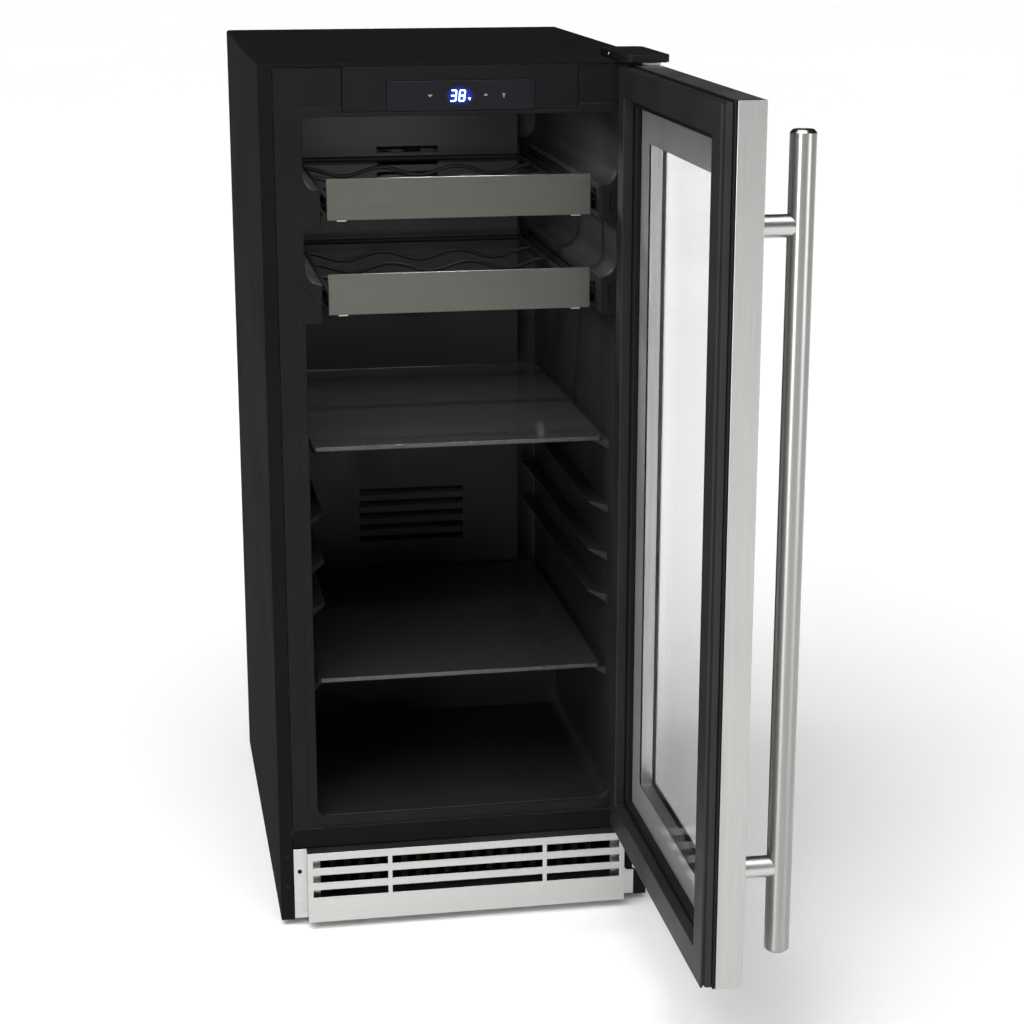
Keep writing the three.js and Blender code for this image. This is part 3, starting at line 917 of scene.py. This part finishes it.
@dataclass
class ControlStrip:
    """The gloss touch strip with its lit temperature and printed signs."""

    digit_width: float = 4.9 * MM
    digit_height: float = 9.8 * MM
    stroke: float = 1.35 * MM
    lean: float = 0.12
    centre_height: float = 0.831
    digit_places: tuple[float, float] = (-7.6 * MM, 0.6 * MM)
    unit_place: tuple[float, float] = (7.6 * MM, -3.0 * MM)
    arrow_places: tuple[float, float] = (-29.5 * MM, 23.0 * MM)
    arrow_rise: float = 0.4 * MM
    lamp_sign_place: float = 40.0 * MM
    print_depth: float = 0.15 * MM
    glow_centre: float = -1.5 * MM
    glow_reach: Triple = (15.0, 0.0, 10.0)
    three: tuple[Segment, ...] = (
        Segment.TOP, Segment.MIDDLE, Segment.BOTTOM, Segment.UPPER_RIGHT, Segment.LOWER_RIGHT,
    )

    def build(self) -> None:
        """Makes the strip, the digits, the glow and the signs."""
        refine("control_strip", "cabinet", "gloss_black", "panel_gloss", 0.35 * MM)
        self.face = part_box("control_strip")[0].y
        strokes = self._digit(self.digit_places[0], self.three)
        strokes += self._digit(self.digit_places[1], tuple(Segment))
        strokes.append(self._triangle("unit_mark", *self.unit_place, 1.7 * MM, -QUARTER, 1.0))
        fit(join_pieces("temperature_digits", strokes), "cabinet", "lamp", "digits")
        self._glow()
        signs = [
            self._triangle("down_sign", self.arrow_places[0], self.arrow_rise, 2.6 * MM, -QUARTER, 0.62),
            self._triangle("up_sign", self.arrow_places[1], self.arrow_rise, 2.6 * MM, QUARTER, 0.62),
            *self._lamp_sign(self.lamp_sign_place),
        ]
        fit(join_pieces("printed_signs", signs), "cabinet", "gloss_black", "printing")

    def _digit(self, place: float, segments: tuple[Segment, ...]) -> list[Piece]:
        """Makes the strokes of one leaning digit.

        Args:
            place: the digit's centre along X.
            segments: the lit strokes.

        Returns:
            The strokes.
        """
        strokes = []
        for segment in segments:
            across, up, upright = segment.value
            height = up * self.digit_height / 2
            middle = place + across * self.digit_width / 2 + height * self.lean
            length = (self.digit_height / 2 if upright else self.digit_width) - 0.35 * self.stroke
            size = Vector((self.stroke, 0.1 * MM, length) if upright else (length, 0.1 * MM, self.stroke)) / 2
            centre = Vector((middle, self.face - 0.07 * MM, self.centre_height + height))
            stroke = box_piece("stroke", centre - size, centre + size)
            if upright:
                with editing(stroke) as mesh:
                    choose_facing(mesh, UP)
                    bpy.ops.transform.translate(value=(length * self.lean / 2, 0, 0))
                    choose_facing(mesh, DOWN)
                    bpy.ops.transform.translate(value=(-length * self.lean / 2, 0, 0))
            strokes.append(soften(stroke, 0.3 * MM, 2, 60.0))
        return strokes

    def _triangle(
        self, name: str, across: float, up: float, radius: float, turn: float, flat: float
    ) -> Piece:
        """Makes a small flat triangle on the strip.

        Args:
            name: the piece's name.
            across: its centre along X.
            up: its centre above the digits' middle.
            radius: from its centre to its corners.
            turn: the direction that it points in, from +X.
            flat: its height compared with an even triangle.

        Returns:
            The triangle.
        """
        start = Vector((across, self.face + 0.05 * MM, self.centre_height + up))
        piece = rod_piece(name, start, start + FRONT * self.print_depth, radius, 3)
        tip = max((v.co - start for v in piece.data.vertices), key=lambda v: v.x)
        now = math.atan2(tip.z, tip.x)
        piece.data.transform(
            Matrix.Translation(start)
            @ Matrix.Diagonal((1.0, 1.0, flat, 1.0))
            @ Matrix.Rotation(now - turn, 4, "Y")
            @ Matrix.Translation(-start)
        )
        return soften(piece, 0.12 * MM, 2)

    def _lamp_sign(self, across: float) -> list[Piece]:
        """Makes the lamp sign: a bulb, its cap and three rays.

        Args:
            across: its centre along X.

        Returns:
            Its pieces.
        """
        middle = Vector((across, self.face + 0.05 * MM, self.centre_height + self.arrow_rise))
        bulb = rod_piece("bulb", middle, middle + FRONT * self.print_depth, 1.2 * MM, 24)
        cap = box_piece(
            "cap", middle + Vector((-0.5, -0.15, -3.0)) * MM, middle + Vector((0.5, 0, -1.0)) * MM
        )
        rays = []
        for index in range(3):
            angle = QUARTER + (index - 1) * 0.9
            centre = middle + Vector((math.cos(angle), 0, math.sin(angle))) * 2.4 * MM
            half = Vector((0.18, 0.1, 0.18)) * MM
            rays.append(box_piece(f"ray_{index}", centre - half, centre + half))
        return [bulb, cap, *rays]

    def _glow(self) -> None:
        """Puts the blue light of the display round the digits."""
        centre = Vector((self.glow_centre, self.face, self.centre_height))
        size = Vector(self.glow_reach) * MM
        reach = (size.x, size.x, size.z)
        FINISHES["halo"] = GlowFinish("display halo", (0.02, 0.045, 0.9), 2.4, tuple(centre), reach)
        low = centre - size - Vector((0, 0.012 * MM, 0))
        high = centre + size + Vector((0, 0.3 * MM, 0))
        halo = soften(box_piece("display_halo", low, high), 0.005 * MM, 1)
        fit(halo, "cabinet", "lamp", "halo")


@dataclass
class ToeGrille:
    """The slotted stainless kick grille."""

    tab_screw: tuple[float, float] = (170.0 * MM, 58.8 * MM)
    return_width: float = 12.0 * MM
    return_depth: float = 9.0 * MM
    return_outer: float = 161.6 * MM
    return_margin: float = 1.6 * MM
    sheet: float = 1.0 * MM

    def build(self) -> None:
        """Makes the grille, its returns and the dark screw in its left tab."""
        refine("toe_grille", "cabinet", "stainless", "steel_x", 0.5 * MM, 3)
        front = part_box("outer_shell")[0].y - 1.2 * MM
        seat = Vector((-self.tab_screw[0], front, self.tab_screw[1]))
        head = Screw(2.2 * MM, 0.8 * MM).build("tab_screw", seat, FRONT)
        fit(head, "cabinet", "black_steel", "black_moulding")
        self._returns()

    def _returns(self) -> None:
        """Turns the duct's ends in behind the slots."""
        low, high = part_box("toe_grille")
        strips = []
        near = low.y + self.return_depth
        for side in (-1, 1):
            outer = side * self.return_outer
            inner = outer - side * self.return_width
            start = Vector((min(outer, inner), near, low.z + self.return_margin))
            end = Vector((max(outer, inner), near + self.sheet, high.z - self.return_margin))
            strips.append(soften(box_piece(f"return_{side}", start, end), 0.4 * MM, 2))
        fit(join_pieces("grille_returns", strips), "cabinet", "stainless", "steel_x")


@dataclass
class Interior:
    """The liner, its air cover, lamp and probe."""

    rounding: float = 0.8 * MM

    def build(self) -> None:
        """Makes the parts inside the opening."""
        refine("inner_liner", "cabinet", "black_plastic", "liner", self.rounding)
        refine("evaporator_cover", "cabinet", "black_plastic", "liner", 0.5 * MM)
        refine("led_lamp", "cabinet", "lamp", "lamp", 0.8 * MM)
        refine("temperature_probe", "cabinet", "white_plastic", "nylon", 0.4 * MM)
        for level in ("upper", "lower"):
            for side in ("left", "right"):
                refine(f"{level}_rail_{side}", "cabinet", "black_steel", "black_paint", 0.15 * MM)


@dataclass
class BottleRack:
    """One pull-out rack: a wire frame on runners behind a metal fascia."""

    level: str
    hem: float = 5 * MM
    clip: Vector = field(default_factory=lambda: Vector((9, 6, 1.6)) * MM)
    bar_place: float = 123.5 * MM
    bar_radius: float = 3 * MM
    wire_radius: float = 2.2 * MM
    wire_reach: float = 123.0 * MM
    wire_pitch: float = 82.0 * MM
    wire_dip: float = 9.0 * MM
    wire_steps: int = 60
    wire_places: tuple[float, ...] = (53.5 * MM, 131.5 * MM, 209.5 * MM, 287.5 * MM)
    strut_reach: float = 60 * MM
    clip_from_end: float = 14 * MM

    def build(self) -> None:
        """Makes the fascia, the wires, the runners and the fascia's clips."""
        body = f"{self.level}_rack"
        self._frame(body)
        for side in ("left", "right"):
            refine(f"{self.level}_runner_{side}", body, "black_steel", "black_paint", 0.15 * MM)
        self._fascia(body)

    def _frame(self, body: str) -> None:
        """Makes the frame: side bars, cross bars, four cradle wires and the fascia's strut.

        Args:
            body: the rack's body.
        """
        low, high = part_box(f"{self.level}_rack_frame")
        runner_low, runner_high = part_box(f"{self.level}_runner_left")
        middle = (runner_low.z + runner_high.z) / 2
        reach = self.bar_place
        parts = []
        for side in (-reach, reach):
            start, end = Vector((side, low.y, middle)), Vector((side, high.y, middle))
            parts.append(soften(rod_piece("side_bar", start, end, self.bar_radius, 32), 0.5 * MM, 2))
        for place in (low.y + 3.1 * MM, high.y - 3.0 * MM):
            start, end = Vector((-reach, place, middle)), Vector((reach, place, middle))
            parts.append(soften(rod_piece("cross_bar", start, end, self.bar_radius, 32), 0.4 * MM, 2))
        wire = self._wire(Vector((-self.wire_reach, low.y + self.wire_places[0], middle)))
        parts.append(wire)
        for place in self.wire_places[1:]:
            twin = new_object("cradle_wire", wire.data.copy())
            twin.data.transform(Matrix.Translation((0, place - self.wire_places[0], 0)))
            parts.append(twin)
        start = Vector((-self.strut_reach, low.y, middle - 10 * MM))
        end = Vector((self.strut_reach, low.y + 3 * MM, middle + 16 * MM))
        parts.append(soften(box_piece("strut", start, end), 0.5 * MM, 2))
        frame_piece = join_pieces(f"{self.level}_wire_frame", parts)
        fit(frame_piece, body, "black_plastic", "black_moulding", f"{self.level}_rack_frame")

    def _wire(self, start: Vector) -> Piece:
        """Draws one wavy cradle wire out step by step.

        Args:
            start: its left end.

        Returns:
            The wire.
        """
        step = 2 * self.wire_reach / self.wire_steps
        heights = [
            -self.wire_dip * (1 + math.cos(math.tau * (index * step - self.wire_reach) / self.wire_pitch)) / 2
            for index in range(self.wire_steps + 1)
        ]
        wire = rod_piece("cradle_wire", start, start + RIGHT * step, self.wire_radius, 20)
        with editing(wire) as mesh:
            choose_facing(mesh, RIGHT)
            for index in range(1, self.wire_steps):
                rise = heights[index + 1] - heights[index]
                draw_out((step, 0, rise))
        return soften(wire, 0.0)

    def _fascia(self, body: str) -> None:
        """Makes the fascia, a strip with its back turned in, and its two clips.

        Args:
            body: the rack's body.
        """
        low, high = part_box(f"{self.level}_rack_fascia")
        fascia = box_piece(f"{self.level}_fascia", low, high)
        with editing(fascia) as mesh:
            choose_facing(mesh, BACK)
            inset(self.hem)
            inset(0.4 * MM, -1.6 * MM)
        soften(fascia, 0.5 * MM, 3)
        fit(fascia, body, "brushed_grey", "fascia", f"{self.level}_rack_fascia")
        clips = []
        for index, edge in enumerate((low.x + self.clip_from_end, high.x - self.clip_from_end)):
            corner = Vector((edge - self.clip.x / 2, low.y + 0.6 * MM, low.z - self.clip.z + 0.3 * MM))
            clips.append(soften(box_piece(f"clip_{index}", corner, corner + self.clip), 0.4 * MM, 2))
        fit(join_pieces(f"{self.level}_fascia_clips", clips), body, "stainless", "steel_x")


@dataclass
class GlassShelf:
    """One smoked glass shelf with a ground front edge."""

    level: str
    edge: float = 0.15 * MM
    margin: float = 3.2 * MM
    proud: float = 0.02 * MM

    def build(self) -> None:
        """Makes the glass and its ground edge."""
        body = f"{self.level}_shelf"
        node = f"{self.level}_glass_shelf"
        refine(node, body, "smoked_glass", "smoked_glass", 0.6 * MM)
        low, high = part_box(node)
        start = Vector((low.x + self.margin, low.y - self.proud, low.z + 0.5 * MM))
        end = Vector((high.x - self.margin, low.y + self.edge, high.z - 0.5 * MM))
        strip = soften(box_piece(f"{self.level}_shelf_edge", start, end), 0.05 * MM, 1)
        fit(strip, body, "smoked_glass", "ground")


@dataclass
class Feet:
    """The four levelling feet."""

    pad: float = 16 * MM
    pad_thickness: float = 3.6 * MM
    pad_slope: float = 3 * MM
    collar: float = 1.6 * MM
    step: float = 9 * MM

    def build(self) -> None:
        """Makes a pad, collar and stud for each foot."""
        for end in ("front", "rear"):
            for side in ("left", "right"):
                self._foot(f"foot_{end}_{side}")

    def _foot(self, node: str) -> None:
        """Makes one foot by drawing its collar and stud up from its pad.

        Args:
            node: the CAD node that it stands for.
        """
        low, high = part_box(node)
        middle = (low + high) / 2
        base = Vector((middle.x, middle.y, low.z))
        foot = rod_piece(f"{node}_pad", base, base + UP * self.pad_thickness, self.pad, 48)
        with editing(foot) as mesh:
            choose_facing(mesh, UP)
            inset(self.pad_slope, self.collar)
            inset(self.step)
            rise = high.z - base.z - 5.4 * MM
            draw_out((0, 0, rise))
        soften(foot, 0.5 * MM, 2)
        fit(foot, node, "rubber", "seal", node)


@dataclass
class Hinges:
    """The top and bottom hinges with the moulded cap over the top one."""

    cap_corner: float = 9 * MM
    cap_wall: float = 2 * MM
    cap_top: float = 2.2 * MM
    leaf_screw_heights: tuple[float, float] = (41 * MM, 83 * MM)

    def build(self) -> None:
        """Makes brackets, pins, bushes, cap and screws."""
        refine("top_hinge_bracket", "cabinet", "grey_steel", "galvanised", 0.4 * MM)
        refine("bottom_hinge_bracket", "cabinet", "black_steel", "black_paint", 0.4 * MM)
        refine("top_hinge_pin", "cabinet", "grey_steel", "pins", 0.5 * MM)
        refine("bottom_hinge_pin", "cabinet", "grey_steel", "pins", 0.5 * MM)
        refine("top_hinge_bush", "door", "white_plastic", "nylon", 0.2 * MM)
        refine("bottom_hinge_bush", "door", "white_plastic", "nylon", 0.2 * MM)
        self._cap()
        self._screws()

    def _cap(self) -> None:
        """Makes the cap: a box with rounded corners, hollowed from below."""
        low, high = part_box("hinge_cover")
        cap = box_piece("hinge_cap", low, high)
        with editing(cap, "EDGE") as mesh:
            for edge in mesh.edges:
                run = edge.verts[1].co - edge.verts[0].co
                edge.select_set(abs(run.z) > FACING * run.length)
            bpy.ops.mesh.bevel(offset=self.cap_corner, segments=8, affect="EDGES")
            bpy.ops.mesh.select_mode(type="FACE")
            choose_facing(mesh, UP)
            inset(2.5 * MM)
            choose_facing(mesh, DOWN)
            inset(self.cap_wall)
            depth = high.z - low.z - self.cap_top
            draw_out((0, 0, depth))
        soften(cap, 1.3 * MM, 4)
        fit(cap, "cabinet", "black_plastic", "black_moulding", "hinge_cover")

    def _screws(self) -> None:
        """Puts the bright screw in the cap's side and two in the lower leaf."""
        cap_low, cap_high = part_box("hinge_cover")
        seat = Vector((cap_low.x + 0.3 * MM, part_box("outer_shell")[0].y + 26 * MM, cap_low.z + 3.4 * MM))
        heads = [Screw(2.0 * MM, 0.8 * MM).build("cap_screw", seat, LEFT)]
        leaf_low, leaf_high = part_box("bottom_hinge_bracket")
        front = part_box("outer_shell")[0].y - 4.5 * MM
        for index, height in enumerate(self.leaf_screw_heights):
            seat = Vector(((leaf_low.x + leaf_high.x) / 2 + 3.5 * MM, front, height))
            heads.append(Screw(3.4 * MM, 1.3 * MM).build(f"leaf_screw_{index}", seat, FRONT))
        fit(join_pieces("hinge_screws", heads), "cabinet", "grey_steel", "screw")


@dataclass
class Door:
    """The open glass door: steel wrap, panes, black profile and magnetic seal."""

    groove_depth: float = 2.0 * MM
    groove_half: float = 1.3 * MM
    groove_place: float = 3.2 * MM
    border_width: float = 34 * MM
    border_margin: float = 1 * MM
    border_thickness: float = 0.12 * MM

    def build(self) -> None:
        """Makes the door's layers from the front to the seal."""
        refine("door_outer_frame", "door", "stainless", "steel_z", 0.5 * MM, 3)
        refine("outer_glass", "door", "clear_glass", "clear_glass", 0.4 * MM)
        refine("inner_glass", "door", "clear_glass", "clear_glass", 0.4 * MM)
        refine("glass_spacer", "door", "aluminium", "aluminium", 0.2 * MM)
        refine("door_inner_frame", "door", "black_plastic", "black_moulding", 1.2 * MM, 2)
        self._seal()
        self._border()

    def _seal(self) -> None:
        """Makes the seal, with a groove round its outer side and a soft lip inside."""
        seal = copy_of("door_gasket", "door_seal")
        low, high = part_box("door_gasket")
        centre = (low + high) / 2
        size = high - low
        near = 0.05 * MM
        level = low.x + self.groove_place
        for place in (level - self.groove_half, level, level + self.groove_half):
            with editing(seal):
                bpy.ops.mesh.select_all(action="SELECT")
                bpy.ops.mesh.bisect(plane_co=(place, centre.y, centre.z), plane_no=(1, 0, 0))
        with editing(seal, "VERT") as mesh:
            for vertex in mesh.verts:
                outside = (
                    min(vertex.co.y - low.y, high.y - vertex.co.y) < near
                    or min(vertex.co.z - low.z, high.z - vertex.co.z) < near
                )
                vertex.select_set(abs(vertex.co.x - level) < near and outside)
            mesh.select_flush_mode()
            shrink = [1.0, 1 - 2 * self.groove_depth / size.y, 1 - 2 * self.groove_depth / size.z]
            bpy.ops.transform.resize(value=shrink, center_override=centre)
        soften(seal, 0.8 * MM, 3)
        fit(seal, "door", "rubber", "seal", "door_gasket")

    def _border(self) -> None:
        """Prints the border round the inner pane."""
        low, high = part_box("inner_glass")
        margin = self.border_margin
        start = Vector((low.x - self.border_thickness, low.y + margin, low.z + margin))
        end = Vector((low.x - 0.02 * MM, high.y - margin, high.z - margin))
        border = box_piece("glass_border", start, end)
        with editing(border) as mesh:
            choose_faces(mesh, lambda face: abs(face.normal.x) > FACING)
            inset(self.border_width - margin)
            bpy.ops.mesh.bridge_edge_loops()
        soften(border, 0.03 * MM, 1)
        fit(border, "door", "clear_glass", "border")


@dataclass
class Handle:
    """The round bar handle on its two posts."""

    chamfer: float = 2.6 * MM

    def build(self) -> None:
        """Makes the bar and its posts."""
        low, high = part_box("handle_bar")
        centre = (low + high) / 2
        radius = (high.x - low.x) / 2
        start = Vector((centre.x, centre.y, low.z))
        end = Vector((centre.x, centre.y, high.z))
        grip = rod_piece("handle_grip", start, end, radius, 96)
        with editing(grip) as mesh:
            choose_faces(mesh, lambda face: abs(face.normal.z) > FACING)
            inset(self.chamfer)
            inset(0.5 * MM, -0.3 * MM)
        with editing(grip, "VERT") as mesh:
            for vertex in mesh.verts:
                reach = (vertex.co.xy - centre.xy).length
                at_end = min(vertex.co.z - low.z, high.z - vertex.co.z) < 0.01 * MM
                vertex.select_set(at_end and reach > radius - 0.01 * MM)
            mesh.select_flush_mode()
            shrink = 1 - 2 * self.chamfer / (high.z - low.z)
            bpy.ops.transform.resize(value=(1, 1, shrink), center_override=centre)
        soften(grip, 0.4 * MM, 2)
        # The bar's darker steel is painted shade.
        fit(grip, "door", "stainless", "shaded_steel_bar", "handle_bar")
        for level in ("lower", "upper"):
            self._post(level, centre, radius)

    def _post(self, level: str, bar: Vector, bar_radius: float) -> None:
        """Makes one post, from the door's face into the bar.

        Args:
            level: lower or upper.
            bar: the centre of the bar.
            bar_radius: the bar's radius.
        """
        low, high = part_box(f"{level}_handle_post")
        height = (low.z + high.z) / 2
        start = Vector((low.x, bar.y, height))
        end = Vector((bar.x - 0.55 * bar_radius, bar.y, height))
        radius = (high.z - low.z) / 2
        post = rod_piece(f"{level}_post", start, end, radius, 64)
        with editing(post) as mesh:
            choose_facing(mesh, LEFT)
            inset(0.8 * MM)
        soften(post, 0.3 * MM, 2)
        fit(post, "door", "stainless", "steel_x", f"{level}_handle_post")


@dataclass
class Studio:
    """The pale floor, the soft lights and the camera."""

    floor_size: float = 80.0
    camera_place: tuple[float, float, float] = (-0.32757, -2.39290, 1.02382)
    camera_turn: float = -0.17390
    camera_dip: float = 0.26910
    lens: float = 80.40
    light_aim: Triple = (0.22, -0.62, 0.45)
    horizon: float = 0.62
    overhead: float = 0.2

    def build(self) -> None:
        """Makes everything that isn't the object."""
        self._floor()
        self._world()
        self._sky()
        self._light("left light", (-2.1, -3.4, 0.9), self.light_aim, (1.1, 2.0), 52)
        self._light("right light", (2.5, -3.0, 0.9), self.light_aim, (1.5, 2.0), 30)
        self._inside_light()
        self._camera()

    def _floor(self) -> None:
        """Lays the floor under the feet."""
        bpy.ops.object.select_all(action="DESELECT")
        bpy.ops.mesh.primitive_plane_add(size=self.floor_size)
        floor = bpy.context.active_object
        floor.name = "floor"
        with editing(floor):
            bpy.ops.mesh.select_all(action="SELECT")
            bpy.ops.mesh.subdivide(number_cuts=3)
        pale = Finish(
            "pale floor", (0.86, 0.86, 0.86), (0.88, 0.88, 0.88), (0.75, 0.85), scale=30.0, relief=0.02,
        )
        floor.data.materials.append(pale.build())

    def _world(self) -> None:
        """Fills the surroundings with light that is paler near the horizon than overhead."""
        world = bpy.data.worlds.new("studio")
        world.use_nodes = True
        nodes = world.node_tree.nodes
        links = world.node_tree.links
        shade = nodes["Background"]
        places = nodes.new("ShaderNodeTexCoord")
        axes = nodes.new("ShaderNodeSeparateXYZ")
        fall = nodes.new("ShaderNodeMapRange")
        fall.inputs["From Max"].default_value = 0.9
        fall.inputs["To Min"].default_value = self.horizon
        fall.inputs["To Max"].default_value = self.overhead
        links.new(places.outputs["Generated"], axes.inputs["Vector"])
        links.new(axes.outputs["Z"], fall.inputs["Value"])
        links.new(fall.outputs["Result"], shade.inputs["Strength"])
        bpy.context.scene.world = world
        bpy.context.scene.view_settings.view_transform = "Standard"

    def _sky(self) -> None:
        """Lights the whole floor evenly from above, softly and a little from the front left."""
        lamp = bpy.data.lights.new("overhead light", "SUN")
        lamp.energy = 4.2
        lamp.angle = 1.2
        holder = new_object("overhead light", lamp)
        holder.rotation_euler = Vector((0.3, 0.35, -1.0)).to_track_quat("-Z", "Y").to_euler()

    def _light(
        self, name: str, place: Triple, aim: Triple, size: tuple[float, float], power: float
    ) -> None:
        """Adds a rectangular soft light.

        Args:
            name: its name.
            place: where it stands.
            aim: the point that it faces.
            size: its width and height in metres.
            power: its power in watts.
        """
        lamp = bpy.data.lights.new(name, "AREA")
        lamp.shape = "RECTANGLE"
        lamp.size, lamp.size_y = size
        lamp.energy = power
        holder = new_object(name, lamp)
        holder.location = place
        run = Vector(aim) - Vector(place)
        holder.rotation_euler = run.to_track_quat("-Z", "Y").to_euler()
        holder.visible_camera = False

    def _inside_light(self) -> None:
        """Lights the inside from under its ceiling."""
        low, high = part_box("led_lamp")
        place = (0.0, high.y, low.z - 2 * MM)
        self._light("inside light", place, (0.0, high.y + 0.1, 0.0), (0.12, 0.02), 1.0)

    def _camera(self) -> None:
        """Stands the camera to the left of the front, above the middle, looking down a little."""
        lens = bpy.data.cameras.new("camera")
        lens.sensor_width = 36.0
        lens.lens = self.lens
        lens.clip_end = 200.0
        holder = new_object("camera", lens)
        holder.location = self.camera_place
        holder.rotation_euler = (QUARTER - self.camera_dip, 0.0, self.camera_turn)
        bpy.context.scene.camera = holder


def main() -> None:
    """Builds the studio and the object's sub-assemblies in order."""
    logging.basicConfig(level=logging.INFO, format="%(name)s: %(message)s")
    Studio().build()
    assemblies = [
        Cabinet(),
        Machinery(),
        FrontTrim(),
        ControlStrip(),
        ToeGrille(),
        Interior(),
        BottleRack("upper"),
        BottleRack("lower"),
        GlassShelf("upper"),
        GlassShelf("lower"),
        Feet(),
        Hinges(),
        Door(),
        Handle(),
    ]
    for assembly in assemblies:
        assembly.build()
        log.info("%s built", type(assembly).__name__)


if __name__ == "__main__":
    main()
